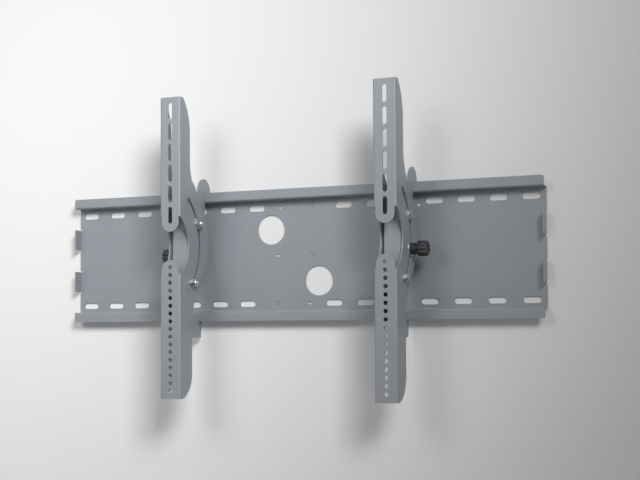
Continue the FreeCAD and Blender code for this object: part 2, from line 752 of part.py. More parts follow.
def rod_profile(start, length, radius):
    """Profile of a plain round rod."""
    end = "%s + %s" % (start, length)
    return [(start, "0"), (end, "0"), (end, radius), (start, radius)]


def hexagon(sketch, across_flats):
    """Draw a hexagon about the sketch's origin from its size across the flats."""
    corner = "(%s / 2 / cos(30))" % across_flats
    corners = [("%s * cos(%d)" % (corner, angle), "%s * sin(%d)" % (corner, angle))
               for angle in range(0, 360, 60)]
    outline(sketch, corners)


def hex_bolt(label, x, spot, shank, turn):
    """A hexagon bolt whose head's seat is at its origin, with the shank inwards."""
    body = new_body(label)
    place(body, x, spot[0], spot[1])
    if turn:
        body.Placement = FreeCAD.Placement(body.Placement.Base, Rotation(ALONG_Z, 180))
    head = new_sketch(body, "head", "YZ_Plane")
    hexagon(head, "Sizes.bolt_hex")
    pad(body, head, "Sizes.bolt_head_height")
    stem = new_sketch(body, "shank", "YZ_Plane")
    ring(stem, "0", "0", "Sizes.bolt_radius")
    pad(body, stem, shank, back=True)
    return body


def lock_nut(label, x, spot, turn):
    """A hexagon lock nut with a round collar, seated at its origin."""
    body = new_body(label)
    place(body, x, spot[0], spot[1])
    if turn:
        body.Placement = FreeCAD.Placement(body.Placement.Base, Rotation(ALONG_Z, 180))
    flats = new_sketch(body, "flats", "YZ_Plane")
    hexagon(flats, "Sizes.bolt_hex")
    pad(body, flats, "Sizes.nut_height - Sizes.nut_collar_height")
    collar = new_sketch(body, "collar", "YZ_Plane")
    ring(collar, "0", "0", "Sizes.bolt_hex / 2 - Sizes.nut_collar_inset")
    pad(body, collar, "Sizes.nut_height")
    bore = new_sketch(body, "bore", "YZ_Plane")
    ring(bore, "0", "0", "Sizes.bolt_radius + Sizes.thread_play")
    pocket(body, bore)
    return body


def tilt_bolt_set(side, level, spot):
    """Bolt, nut, two washers, two liners and the sleeve of one tilt bolt."""
    name = "%s_%s_bolt" % (side_name(side), level)
    middle = arm_middle(side)
    outward = "+" if side > 0 else "-"
    inward = "-" if side > 0 else "+"
    face = "(Sizes.arm_width / 2 + Sizes.washer_height)"
    shank = "(2 * %s + Sizes.nut_height + Sizes.bolt_over_nut)" % face
    hex_bolt(name, "%s %s %s" % (middle, outward, face), spot, shank, side < 0)
    lock_nut(name.replace("bolt", "nut"), "%s %s %s" % (middle, inward, face), spot, side > 0)
    hole = "Sizes.bolt_radius + Sizes.bolt_hole_play"
    pieces = (("outer_washer", outward, "Sizes.arm_width / 2", "Sizes.washer_height",
               "Sizes.washer_radius"),
              ("inner_washer", inward, "Sizes.arm_width / 2", "Sizes.washer_height",
               "Sizes.washer_radius"),
              ("outer_liner", outward, HOOK_HALF, "Sizes.washer_gap", "Sizes.liner_radius"),
              ("inner_liner", inward, HOOK_HALF, "Sizes.washer_gap", "Sizes.liner_radius"))
    for kind, way, start, length, radius in pieces:
        label = "%s_%s_%s" % (side_name(side), level, kind)
        turned(label, middle, spot, tube_profile(start, length, hole, radius), way == "-")
    turned("%s_%s_sleeve" % (side_name(side), level), middle, spot,
           tube_profile("-" + HOOK_INSIDE, "2 * " + HOOK_INSIDE, hole, "Sizes.sleeve_radius"))


def knob_set(side):
    """The clamping knob, its stud, its washer, its liner and the weld nut."""
    name = side_name(side)
    middle = arm_middle(side)
    facing_left = side < 0
    washer = "Sizes.arm_width / 2"
    seat = "(%s + Sizes.washer_height)" % washer
    neck = "(%s + Sizes.knob_collar_height)" % seat
    head = "(%s + Sizes.knob_neck_height)" % neck
    crown = "(%s + Sizes.knob_head_height)" % head
    bore_end = "(%s + Sizes.stud_in_knob)" % seat
    soft = "Sizes.knob_round"
    profile = [
        (seat, "Sizes.bolt_radius"), (bore_end, "Sizes.bolt_radius"), (bore_end, "0"),
        (crown, "0"), (crown, "Sizes.knob_head_radius - " + soft),
        ("%s - %s" % (crown, soft), "Sizes.knob_head_radius"),
        ("%s + %s" % (head, soft), "Sizes.knob_head_radius"),
        (head, "Sizes.knob_head_radius - " + soft), (head, "Sizes.knob_neck_radius"),
        (neck, "Sizes.knob_neck_radius"), (neck, "Sizes.knob_collar_radius"),
        (seat, "Sizes.knob_collar_radius"),
    ]
    body = turned("%s_knob" % name, middle, KNOB, profile, facing_left)
    flute = new_sketch(body, "flute", "YZ_Plane")
    ring(flute, "0", "Sizes.knob_head_radius + Sizes.knob_flute_radius - Sizes.knob_flute_depth",
         "Sizes.knob_flute_radius")
    cut = pocket(body, flute, crown, back=True)
    around = body.newObject("PartDesign::PolarPattern", "%s_knob_flutes" % name)
    around.Originals = [cut]
    around.Axis = (flute, ["N_Axis"])
    around.Angle = 360
    bind(around, "Occurrences", "Sizes.knob_flutes")
    body.Tip = around
    doc.recompute()

    stud_start = "(%s - Sizes.weld_nut_height)" % HOOK_INSIDE
    turned("%s_knob_stud" % name, middle, KNOB,
           rod_profile(stud_start, "%s - %s" % (bore_end, stud_start), "Sizes.bolt_radius"),
           facing_left)
    hole = "Sizes.bolt_radius + Sizes.bolt_hole_play"
    turned("%s_clamp_washer" % name, middle, KNOB,
           tube_profile(washer, "Sizes.washer_height", hole, "Sizes.clamp_washer_radius"),
           facing_left)
    turned("%s_clamp_liner" % name, middle, KNOB,
           tube_profile(HOOK_HALF, "Sizes.washer_gap", hole, "Sizes.liner_radius"), facing_left)

    nut = new_body("%s_weld_nut" % name)
    sign = "-" if facing_left else "+"
    place(nut, "%s %s %s" % (middle, sign, stud_start), KNOB[0], KNOB[1])
    if facing_left:
        nut.Placement = FreeCAD.Placement(nut.Placement.Base, Rotation(ALONG_Z, 180))
    block = new_sketch(nut, "block", "YZ_Plane")
    half = "Sizes.weld_nut_side / 2"
    box_outline(block, "-" + half, half, "-" + half, half)
    pad(nut, block, "Sizes.weld_nut_height")
    bore = new_sketch(nut, "bore", "YZ_Plane")
    ring(bore, "0", "0", "Sizes.bolt_radius + Sizes.thread_play")
    pocket(nut, bore)


def latch_set(side):
    """The latch behind the bottom rail, its pin, its two sleeves and its spring."""
    name = side_name(side)
    middle = arm_middle(side)
    pin_y, pin_z = LATCH_PIN
    front = "-(Sizes.lip_stand_off + Sizes.latch_lip_gap)"
    behind = "-(Sizes.lip_stand_off - Sizes.plate_sheet - Sizes.latch_finger_gap)"
    rear = "(%s + Sizes.latch_finger_width)" % behind
    floor = "-(%s + Sizes.latch_lip_gap)" % RIM
    top = "-(%s - Sizes.latch_reach)" % RIM
    tail = "-(%s + Sizes.latch_tail)" % RIM
    corner = "Sizes.latch_corner"
    eye = "Sizes.latch_eye_radius"
    diagonal = "%s * cos(45)" % eye
    body = new_body("%s_latch" % name)
    place(body, middle)
    view = new_sketch(body, "side_view", "YZ_Plane")
    outline(view, [
        ("%s - %s" % (pin_y, diagonal), "%s - %s" % (pin_z, diagonal)),
        ("-Sizes.latch_tail_depth", tail), ("%s - %s" % (rear, corner), tail),
        (rear, "-(%s + %s)" % (RIM, corner)), (rear, "%s - %s" % (top, corner)),
        ("%s - %s" % (rear, corner), top), (behind, "%s - Sizes.latch_lead" % top),
        (behind, floor), (front, floor), (front, "%s - Sizes.latch_lead" % top),
        (pin_y, "%s + %s" % (pin_z, eye), eye),
    ])
    pad(body, view, "Sizes.latch_sheet", both_ways=True)
    holes = new_sketch(body, "holes", "YZ_Plane")
    ring(holes, pin_y, pin_z, "Sizes.latch_pin_radius + Sizes.pin_play")
    ring(holes, "%s - Sizes.pull_hole_inset" % rear, "%s + Sizes.pull_hole_above_tail" % tail,
         "Sizes.pull_hole_radius")
    ring(holes, *SPRING_HOLE, "Sizes.spring_hole_radius")
    pocket(body, holes)

    half = "(Sizes.arm_width / 2 - Sizes.arm_sheet - Sizes.washer_gap / 2)"
    turned("%s_latch_pin" % name, middle, LATCH_PIN,
           rod_profile("-" + half, "2 * " + half, "Sizes.latch_pin_radius"))
    bore = "Sizes.latch_pin_radius + Sizes.pin_play"
    edge = "Sizes.latch_sheet / 2"
    for kind, turn in (("outer", side < 0), ("inner", side > 0)):
        turned("%s_latch_%s_sleeve" % (name, kind), middle, LATCH_PIN,
               tube_profile(edge, "%s - %s" % (HOOK_INSIDE, edge), bore,
                            "Sizes.pin_sleeve_radius"), turn)
    turned("%s_spring_pin" % name, middle, SPRING_PIN,
           rod_profile("-" + HOOK_HALF, "2 * " + HOOK_HALF, "Sizes.spring_pin_radius"))
    latch_spring(name, middle)


def flat_ring(radius, wire, middle, axis):
    """A closed loop of square wire about a middle, facing along an axis."""
    start = middle - axis.normalize() * wire
    outside = Part.makeCylinder(radius + wire, 2 * wire, start, axis)
    return outside.cut(Part.makeCylinder(radius - wire, 2 * wire, start, axis))


def latch_spring(name, middle):
    """A close-wound tension spring with a loop round its pin and a ring in the latch."""
    wire = measure("Sizes.spring_wire")
    radius = measure("Sizes.spring_radius")
    loop = measure("Sizes.spring_pin_radius + Sizes.spring_wire + Sizes.spring_play")
    ring_size = measure("Sizes.spring_ring")
    pin = Vector(0, measure(SPRING_PIN[0]), measure(SPRING_PIN[1]))
    hole = Vector(0, measure(SPRING_HOLE[0]), measure(SPRING_HOLE[1]))
    down = (hole - pin).normalize()
    across = Vector(1, 0, 0)
    start = pin + down * (loop + 2 * wire)
    end = hole - down * (2 * ring_size)
    length = (end - start).Length
    turns = int(length / (6 * wire))
    step = length / turns

    def at(along, out):
        return start + down * along + across * out

    points = [at(0, 0), at(0, radius - wire)]
    for index in range(turns):
        points.append(at((index + 0.5) * step, radius))
        points.append(at((index + 1) * step, radius - wire))
    points.append(at(length, 0))
    points.append(points[0])
    coil = Part.Face(Part.makePolygon(points)).revolve(start, down, 360)
    eye = flat_ring(loop, wire, pin, across)
    hook = flat_ring(ring_size, wire, hole - down * ring_size, across.cross(down))
    neck = Part.makeCylinder(wire, 3 * wire, start - down * 2 * wire, down)
    shape = coil.fuse([eye, neck, hook]).removeSplitter()
    feature = doc.addObject("Part::Feature", "%s_latch_spring" % name)
    feature.Label = "%s_latch_spring" % name
    feature.Shape = shape
    place(feature, middle)
    PIECES.append(feature)


def build():
    """Make every piece of the bracket."""
    wall_plate()
    for side in (-1, 1):
        screen_arm(side)
        hook_bracket(side)
        tilt_bolt_set(side, "upper", UPPER_BOLT)
        tilt_bolt_set(side, "lower", LOWER_BOLT)
        knob_set(side)
        latch_set(side)
    doc.recompute()


def export():
    """Check the document and every piece, then write one STEP file for each."""
    for item in doc.Objects:
        if "Invalid" in item.State or "Error" in item.State:
            raise RuntimeError("%s failed: %s" % (item.Name, item.State))
    os.makedirs("parts", exist_ok=True)
    for piece in PIECES:
        shape = piece.Shape
        if shape.isNull() or not shape.isValid() or len(shape.Solids) != 1:
            raise RuntimeError("%s is not one sound solid" % piece.Label)
        shape.exportStep(os.path.join("parts", piece.Label + ".step"))


build()
export()
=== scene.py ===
"""Looks of the tilting wall bracket: finishes, fine fasteners, springs, stage and camera."""
import math

import bpy
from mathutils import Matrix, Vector


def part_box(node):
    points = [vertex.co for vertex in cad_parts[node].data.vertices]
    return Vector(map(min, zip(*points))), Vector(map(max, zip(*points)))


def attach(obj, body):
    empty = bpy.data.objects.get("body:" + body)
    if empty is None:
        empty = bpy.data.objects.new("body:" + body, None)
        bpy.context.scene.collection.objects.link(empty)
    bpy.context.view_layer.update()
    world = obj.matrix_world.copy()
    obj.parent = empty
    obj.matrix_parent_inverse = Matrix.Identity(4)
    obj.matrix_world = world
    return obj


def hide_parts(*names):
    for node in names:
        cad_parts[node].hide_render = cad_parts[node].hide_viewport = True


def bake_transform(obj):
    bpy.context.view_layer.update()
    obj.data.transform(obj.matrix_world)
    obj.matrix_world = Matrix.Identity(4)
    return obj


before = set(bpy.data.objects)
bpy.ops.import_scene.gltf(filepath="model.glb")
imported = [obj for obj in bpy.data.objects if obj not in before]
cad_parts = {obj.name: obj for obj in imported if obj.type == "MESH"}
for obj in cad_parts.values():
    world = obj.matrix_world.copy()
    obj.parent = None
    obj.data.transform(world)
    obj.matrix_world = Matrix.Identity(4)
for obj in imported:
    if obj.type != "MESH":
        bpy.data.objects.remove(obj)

bl_info = {
    "name": "Tilting wall bracket",
    "version": (1, 0, 0),
    "blender": (4, 5, 0),
    "location": "3D View > Sidebar > Bracket",
    "description": "Gives a folded steel wall bracket its finishes, fasteners and studio",
    "category": "Object",
}

MM = 0.001
SIDES = ("left", "right")
LEVELS = ("upper", "lower")

# How far a cutting solid stands clear of the faces that it leaves whole.
CLEAR = 0.01 * MM

# Turned corners of bolt heads and nuts: their slope, and the end face's radius as a
# share of half the width across the flats.
CHAMFER_SLOPE = math.radians(30)
CHAMFER_SHARE = 0.97


# Colour and material helpers


def linear(code):
    """Turn an sRGB hex colour into the linear colour that shaders read."""
    parts = [int(code[index:index + 2], 16) / 255 for index in (0, 2, 4)]
    return tuple(p / 12.92 if p <= 0.04045 else ((p + 0.055) / 1.055) ** 2.4 for p in parts)


def shade(colour, share):
    """Make a colour darker or lighter by a share, and add full alpha."""
    return (*[min(1, part * share) for part in colour], 1)


def add(tree, kind, settings=None, links=None):
    """Add a node, set its properties and sockets, and link its inputs."""
    node = tree.nodes.new(kind)
    for name, value in (settings or {}).items():
        if isinstance(name, str) and hasattr(node, name):
            setattr(node, name, value)
        else:
            node.inputs[name].default_value = value
    for name, socket in (links or {}).items():
        tree.links.new(socket, node.inputs[name])
    return node


def start_material(name):
    """Start a material and return it with its tree, object coordinates and shader."""
    material = bpy.data.materials.new(name)
    material.use_nodes = True
    tree = material.node_tree
    tree.nodes.clear()
    place = add(tree, "ShaderNodeTexCoord").outputs["Object"]
    shader = add(tree, "ShaderNodeBsdfPrincipled")
    add(tree, "ShaderNodeOutputMaterial", links={"Surface": shader.outputs["BSDF"]})
    return material, tree, place, shader


def per_metre(size):
    """Pattern scale for a cell of a real size in millimetres."""
    return 1 / (size * MM)


def wear(piece, material):
    """Give a piece one material all over."""
    piece.data.materials.clear()
    piece.data.materials.append(material)


# Materials


def powder_coat(finish):
    """Polyester powder coat with fine metal flake, sprayed and baked on folded steel.

    The eye sees a satin silver grey, an orange peel about a millimetre across, and a
    faint grain of flake. Real flake is finer than half a millimetre: it is drawn that
    coarse so that it shows.
    """
    material, tree, place, shader = start_material("powder_coat")
    flake = add(tree, "ShaderNodeTexNoise",
                {"Scale": per_metre(0.5), "Detail": 2.0}, {"Vector": place})
    cloud = add(tree, "ShaderNodeTexNoise",
                {"Scale": per_metre(60), "Detail": 3.0}, {"Vector": place})
    both = add(tree, "ShaderNodeMath", {"operation": "MULTIPLY_ADD", 1: 0.3},
               {0: cloud.outputs["Fac"], 2: flake.outputs["Fac"]})
    tone = add(tree, "ShaderNodeValToRGB", links={"Fac": both.outputs["Value"]})
    tone.color_ramp.elements[0].position = 0.4
    tone.color_ramp.elements[0].color = shade(finish.coat_colour, 0.86)
    tone.color_ramp.elements[1].position = 0.95
    tone.color_ramp.elements[1].color = shade(finish.coat_colour, 1.12)
    tree.links.new(tone.outputs["Color"], shader.inputs["Base Color"])
    dull = add(tree, "ShaderNodeMapRange",
               {"From Min": 0.3, "From Max": 0.7, "To Min": 0.46, "To Max": 0.56},
               {"Value": cloud.outputs["Fac"]})
    tree.links.new(dull.outputs["Result"], shader.inputs["Roughness"])
    peel = add(tree, "ShaderNodeTexNoise",
               {"Scale": per_metre(1.6), "Detail": 1.0}, {"Vector": place})
    bump = add(tree, "ShaderNodeBump",
               {"Strength": 0.22, "Distance": 0.03 * MM}, {"Height": peel.outputs["Fac"]})
    tree.links.new(bump.outputs["Normal"], shader.inputs["Normal"])
    shader.inputs["Metallic"].default_value = 0.15
    shader.inputs["Coat Weight"].default_value = 0.25
    shader.inputs["Coat Roughness"].default_value = 0.2
    return material


def zinc_plate(finish):
    """Bright zinc electroplate with a clear passivate on turned steel.

    The eye sees a bluish silver mirror, dulled by fine turning and handling marks.
    """
    material, tree, place, shader = start_material("zinc_plate")
    cloud = add(tree, "ShaderNodeTexNoise",
                {"Scale": per_metre(3), "Detail": 4.0}, {"Vector": place})
    tone = add(tree, "ShaderNodeValToRGB", links={"Fac": cloud.outputs["Fac"]})
    tone.color_ramp.elements[0].color = shade(finish.zinc_colour, 0.82)
    tone.color_ramp.elements[1].color = shade(finish.zinc_colour, 1)
    tree.links.new(tone.outputs["Color"], shader.inputs["Base Color"])
    marks = add(tree, "ShaderNodeTexNoise",
                {"Scale": per_metre(0.6), "Detail": 3.0}, {"Vector": place})
    dull = add(tree, "ShaderNodeMapRange",
               {"To Min": 0.16, "To Max": 0.34}, {"Value": marks.outputs["Fac"]})
    tree.links.new(dull.outputs["Result"], shader.inputs["Roughness"])
    bump = add(tree, "ShaderNodeBump",
               {"Strength": 0.15, "Distance": 0.02 * MM}, {"Height": marks.outputs["Fac"]})
    tree.links.new(bump.outputs["Normal"], shader.inputs["Normal"])
    shader.inputs["Metallic"].default_value = 1.0
    return material


def black_nylon(finish):
    """Glass-filled nylon, moulded in a spark-eroded tool.

    The eye sees a deep grey black with a fine even grain and a soft sheen on its edges.
    The grain is drawn about three times as coarse as the real one, so that it shows.
    """
    material, tree, place, shader = start_material("black_nylon")
    grain = add(tree, "ShaderNodeTexNoise",
                {"Scale": per_metre(0.5), "Detail": 3.0}, {"Vector": place})
    tone = add(tree, "ShaderNodeValToRGB", links={"Fac": grain.outputs["Fac"]})
    tone.color_ramp.elements[0].color = shade(finish.knob_colour, 0.7)
    tone.color_ramp.elements[1].color = shade(finish.knob_colour, 1.4)
    tree.links.new(tone.outputs["Color"], shader.inputs["Base Color"])
    dull = add(tree, "ShaderNodeMapRange",
               {"To Min": 0.42, "To Max": 0.6}, {"Value": grain.outputs["Fac"]})
    tree.links.new(dull.outputs["Result"], shader.inputs["Roughness"])
    bump = add(tree, "ShaderNodeBump",
               {"Strength": 0.35, "Distance": 0.03 * MM}, {"Height": grain.outputs["Fac"]})
    tree.links.new(bump.outputs["Normal"], shader.inputs["Normal"])
    shader.inputs["IOR"].default_value = 1.53
    return material


def natural_nylon(finish):
    """Unfilled nylon, moulded as thin liners and sleeves.

    The eye sees a milky cream, slightly cloudy, with a waxy shine.
    """
    material, tree, place, shader = start_material("natural_nylon")
    cloud = add(tree, "ShaderNodeTexNoise",
                {"Scale": per_metre(4), "Detail": 2.0}, {"Vector": place})
    tone = add(tree, "ShaderNodeValToRGB", links={"Fac": cloud.outputs["Fac"]})
    tone.color_ramp.elements[0].color = shade(finish.liner_colour, 0.9)
    tone.color_ramp.elements[1].color = shade(finish.liner_colour, 1)
    tree.links.new(tone.outputs["Color"], shader.inputs["Base Color"])
    dull = add(tree, "ShaderNodeMapRange",
               {"To Min": 0.34, "To Max": 0.44}, {"Value": cloud.outputs["Fac"]})
    tree.links.new(dull.outputs["Result"], shader.inputs["Roughness"])
    shader.inputs["IOR"].default_value = 1.53
    return material


def spring_wire(finish):
    """Hard-drawn spring wire, oiled and left bare.

    The eye sees a dark steel with an uneven tone from its drawing, and an oily shine.
    """
    material, tree, place, shader = start_material("spring_wire")
    marks = add(tree, "ShaderNodeTexNoise",
                {"Scale": per_metre(0.4), "Detail": 2.0}, {"Vector": place})
    tone = add(tree, "ShaderNodeValToRGB", links={"Fac": marks.outputs["Fac"]})
    tone.color_ramp.elements[0].color = shade(finish.wire_colour, 0.75)
    tone.color_ramp.elements[1].color = shade(finish.wire_colour, 1)
    tree.links.new(tone.outputs["Color"], shader.inputs["Base Color"])
    dull = add(tree, "ShaderNodeMapRange",
               {"To Min": 0.25, "To Max": 0.4}, {"Value": marks.outputs["Fac"]})
    tree.links.new(dull.outputs["Result"], shader.inputs["Roughness"])
    shader.inputs["Metallic"].default_value = 1.0
    return material


def one_sided(material, tree, shader):
    """Show a stage surface only from its front, and let the lamps shine through it.

    That way it never hides the bracket, nor shades it from the light behind.
    """
    side = add(tree, "ShaderNodeNewGeometry").outputs["Backfacing"]
    ray = add(tree, "ShaderNodeLightPath").outputs["Is Shadow Ray"]
    open_way = add(tree, "ShaderNodeMath", {"operation": "MAXIMUM"}, {0: side, 1: ray})
    clear = add(tree, "ShaderNodeBsdfTransparent")
    mix = add(tree, "ShaderNodeMixShader",
              links={0: open_way.outputs["Value"], 1: shader.outputs["BSDF"],
                     2: clear.outputs["BSDF"]})
    output = next(node for node in tree.nodes if node.type == "OUTPUT_MATERIAL")
    tree.links.new(mix.outputs["Shader"], output.inputs["Surface"])


def wall_paint(colour, name):
    """Matt emulsion on plaster, rolled on.

    The eye sees an even pale tone with a faint roller texture.
    """
    material, tree, place, shader = start_material(name)
    roll = add(tree, "ShaderNodeTexNoise",
               {"Scale": per_metre(4), "Detail": 2.0}, {"Vector": place})
    bump = add(tree, "ShaderNodeBump",
               {"Strength": 0.05, "Distance": 0.2 * MM}, {"Height": roll.outputs["Fac"]})
    tree.links.new(bump.outputs["Normal"], shader.inputs["Normal"])
    shader.inputs["Base Color"].default_value = shade(colour, 1)
    shader.inputs["Roughness"].default_value = 0.9
    one_sided(material, tree, shader)
    return material


# Modelling helpers


def deselect_all():
    """Leave edit mode and deselect everything, so an operator acts only on what follows."""
    if bpy.context.object and bpy.context.object.mode != "OBJECT":
        bpy.ops.object.mode_set(mode="OBJECT")
    bpy.ops.object.select_all(action="DESELECT")


def pick(piece):
    """Select one piece alone and make it the active one."""
    deselect_all()
    piece.select_set(True)
    bpy.context.view_layer.objects.active = piece


def added(name):
    """Name the object that was just added."""
    piece = bpy.context.object
    piece.name = name
    piece.data.name = name
    return piece


def settle(piece):
    """Put a piece's place into its mesh, so its object sits at the origin, unturned."""
    pick(piece)
    bpy.ops.object.transform_apply(location=True, rotation=True, scale=True)


def apply_modifier(piece, kind, **settings):
    """Add a modifier with its settings and apply it."""
    pick(piece)
    modifier = piece.modifiers.new(kind.lower(), kind)
    for key, value in settings.items():
        setattr(modifier, key, value)
    bpy.ops.object.modifier_apply(modifier=modifier.name)


def join(pieces, name):
    """Join pieces into the first one."""
    deselect_all()
    for piece in pieces:
        piece.select_set(True)
    bpy.context.view_layer.objects.active = pieces[0]
    bpy.ops.object.join()
    return added(name)


def smooth(piece, angle):
    """Shade a piece smooth, with crisp edges above an angle in degrees."""
    pick(piece)
    bpy.ops.object.shade_smooth_by_angle(angle=math.radians(angle))


def outward(piece):
    """Turn all faces of a piece outwards."""
    pick(piece)
    bpy.ops.object.mode_set(mode="EDIT")
    bpy.ops.mesh.select_all(action="SELECT")
    bpy.ops.mesh.normals_make_consistent(inside=False)
    bpy.ops.object.mode_set(mode="OBJECT")


def placed_copy(model, name, place, facing=1):
    """Copy a model with its own mesh to a place, turned round where it faces left."""
    pick(model)
    bpy.ops.object.duplicate()
    twin = added(name)
    twin.location = place
    twin.rotation_euler.z = 0 if facing > 0 else math.pi
    settle(twin)
    return twin


def raise_in_steps(piece, stations):
    """Extrude a piece's selected end along X, resized about the X axis at each station.

    Each station is (place along X, radius), in metres, and the first one is the end's own.
    """
    at, size = stations[0]
    for place, radius in stations[1:]:
        bpy.ops.mesh.extrude_region_move(TRANSFORM_OT_translate={"value": (place - at, 0, 0)})
        share = radius / size
        bpy.ops.transform.resize(value=(1, share, share), center_override=(place, 0, 0))
        at, size = place, radius


def turned(name, stations, around=48):
    """A closed round piece on the X axis, given by (place along X, radius) stations."""
    first, radius = stations[0]
    deselect_all()
    bpy.ops.mesh.primitive_circle_add(vertices=around, radius=radius, location=(first, 0, 0),
                                      rotation=(0, math.pi / 2, 0), fill_type="NGON")
    piece = added(name)
    settle(piece)
    bpy.ops.object.mode_set(mode="EDIT")
    bpy.ops.mesh.select_all(action="SELECT")
    raise_in_steps(piece, stations)
    bpy.ops.object.mode_set(mode="OBJECT")
    outward(piece)
    return piece


def wound(name, profile, axis, rise, turns, steps):
    """Wind a closed profile into a helix about an axis and close its two ends."""
    apply_modifier(profile, "SCREW", axis=axis, screw_offset=rise / turns, iterations=turns,
                   steps=steps, render_steps=steps, use_merge_vertices=False)
    bpy.ops.object.mode_set(mode="EDIT")
    bpy.ops.mesh.select_mode(type="EDGE")
    bpy.ops.mesh.select_all(action="DESELECT")
    bpy.ops.mesh.select_non_manifold()
    bpy.ops.mesh.edge_face_add()
    bpy.ops.object.mode_set(mode="OBJECT")
    profile.name = name
    outward(profile)
    return profile


def hexagon_block(name, low, high, across_flats, rounded_ends):
    """A hexagonal block on the X axis, with turned corners at the ends that are named."""
    corner = across_flats / 2 / math.cos(math.pi / 6)
    face = across_flats / 2 * CHAMFER_SHARE
    rise = (corner - face) * math.tan(CHAMFER_SLOPE)
    deselect_all()
    bpy.ops.mesh.primitive_cylinder_add(vertices=6, radius=corner, depth=high - low,
                                        location=((low + high) / 2, 0, 0),
                                        rotation=(0, math.pi / 2, 0))
    block = added(name)
    settle(block)
    stations = [(low + rise if "low" in rounded_ends else low - rise, corner + CLEAR),
                (high - rise if "high" in rounded_ends else high + rise, corner + CLEAR)]
    if "low" in rounded_ends:
        stations.insert(0, (low, face))
    if "high" in rounded_ends:
        stations.append((high, face))
    lathe = turned(name + "_lathe", stations, around=64)
    apply_modifier(block, "BOOLEAN", operation="INTERSECT", object=lathe, solver="EXACT")
    bpy.data.objects.remove(lathe)
    return block


def stand_for(piece, node, body):
    """Let a finished piece ride on a body and stand for its plain node."""
    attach(piece, body)
    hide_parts(node)


def middle_of(node):
    """Middle of a node's box."""
    low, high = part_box(node)
    return (low + high) / 2


def end_of(node, high_end):
    """Point on a node's middle line at its low or high end along X."""
    low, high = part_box(node)
    point = (low + high) / 2
    point.x = high.x if high_end else low.x
    return point


# Sizes and colours


class BracketFinish(bpy.types.PropertyGroup):
    """Colours of the bracket and its stage."""

    coat_colour: bpy.props.FloatVectorProperty(
        name="Powder coat", description="Silver grey of the folded sheets", subtype="COLOR",
        size=3, min=0, max=1, default=linear("858A90"))
    zinc_colour: bpy.props.FloatVectorProperty(
        name="Zinc", description="Bright plating of bolts, nuts and washers", subtype="COLOR",
        size=3, min=0, max=1, default=linear("DADCDD"))
    knob_colour: bpy.props.FloatVectorProperty(
        name="Knob", description="Moulded black of the clamping knobs", subtype="COLOR",
        size=3, min=0, max=1, default=linear("1E1E20"))
    liner_colour: bpy.props.FloatVectorProperty(
        name="Liner", description="Natural nylon of liners and sleeves", subtype="COLOR",
        size=3, min=0, max=1, default=linear("E6E1D5"))
    wire_colour: bpy.props.FloatVectorProperty(
        name="Spring wire", description="Bare steel of the latch springs", subtype="COLOR",
        size=3, min=0, max=1, default=linear("A3A4A6"))
    wall_colour: bpy.props.FloatVectorProperty(
        name="Wall", description="Paint of the wall behind the bracket", subtype="COLOR",
        size=3, min=0, max=1, default=linear("DCDCDC"))
    floor_colour: bpy.props.FloatVectorProperty(
        name="Floor", description="Pale floor below the bracket", subtype="COLOR",
        size=3, min=0, max=1, default=linear("DFDFDE"))


class BracketSizes(bpy.types.PropertyGroup):
    """Sizes of the fine forms that the frame shows plainly."""

    edge_round: bpy.props.FloatProperty(
        name="Edge rounding", description="Rounding of the sheets' cut edges under the coat",
        unit="LENGTH", default=0.3 * MM, precision=5)
    shank_radius: bpy.props.FloatProperty(
        name="Shank radius", description="Half the thickness of the tilt bolts", unit="LENGTH",
        default=4 * MM, precision=5)
    thread_pitch: bpy.props.FloatProperty(
        name="Thread pitch", description="Pitch of the bolts' threads", unit="LENGTH",
        default=1.25 * MM, precision=5)
    thread_depth: bpy.props.FloatProperty(
        name="Thread depth", description="Depth of the bolts' threads", unit="LENGTH",
        default=0.7 * MM, precision=5)
    thread_length: bpy.props.FloatProperty(
        name="Thread length", description="Threaded end of a tilt bolt", unit="LENGTH",
        default=10 * MM, precision=5)
    collar_height: bpy.props.FloatProperty(
        name="Knob collar", description="Height of a knob's collar", unit="LENGTH",
        default=8 * MM, precision=5)
    collar_radius: bpy.props.FloatProperty(
        name="Knob collar radius", description="Radius of a knob's collar", unit="LENGTH",
        default=10 * MM, precision=5)
    neck_height: bpy.props.FloatProperty(
        name="Knob neck", description="Height of the neck under a knob's grip", unit="LENGTH",
        default=3.5 * MM, precision=5)
    knob_lobes: bpy.props.IntProperty(
        name="Knob lobes", description="Finger lobes round a clamping knob", default=9, min=3)
    wire_radius: bpy.props.FloatProperty(
        name="Wire radius", description="Half the thickness of the spring wire", unit="LENGTH",
        default=0.45 * MM, precision=5)
    ring_radius: bpy.props.FloatProperty(
        name="Spring ring", description="Radius of a spring's end loops", unit="LENGTH",
        default=2.6 * MM, precision=5)


class BracketStage(bpy.types.PropertyGroup):
    """Camera place and lamp strengths."""

    camera_place: bpy.props.FloatVectorProperty(
        name="Camera", description="Where the camera stands", subtype="TRANSLATION", size=3,
        default=(0.8800, -1.9800, -0.1330))
    camera_turn: bpy.props.FloatVectorProperty(
        name="Camera turn", description="Tilt, roll and pan of the camera", subtype="EULER",
        size=3, default=(math.radians(92.09), math.radians(0.31), math.radians(22.83)))
    lens: bpy.props.FloatProperty(
        name="Lens", description="Focal length on a 36 mm sensor", default=68.38)
    lens_shift: bpy.props.FloatVectorProperty(
        name="Lens shift", description="Shift that frames the bracket as it hangs", size=2,
        default=(0.0, 0.0703))
    key_power: bpy.props.FloatProperty(
        name="Key light", description="Strength of the main soft light", unit="POWER",
        default=9.5)
    fill_power: bpy.props.FloatProperty(
        name="Fill light", description="Strength of the light from the left", unit="POWER",
        default=4.5)
    back_power: bpy.props.FloatProperty(
        name="Back light", description="Strength of the light on the plate's back",
        unit="POWER", default=80.0)
    sky_strength: bpy.props.FloatProperty(
        name="Ambient", description="Even light from all round", default=0.2)


# Operators


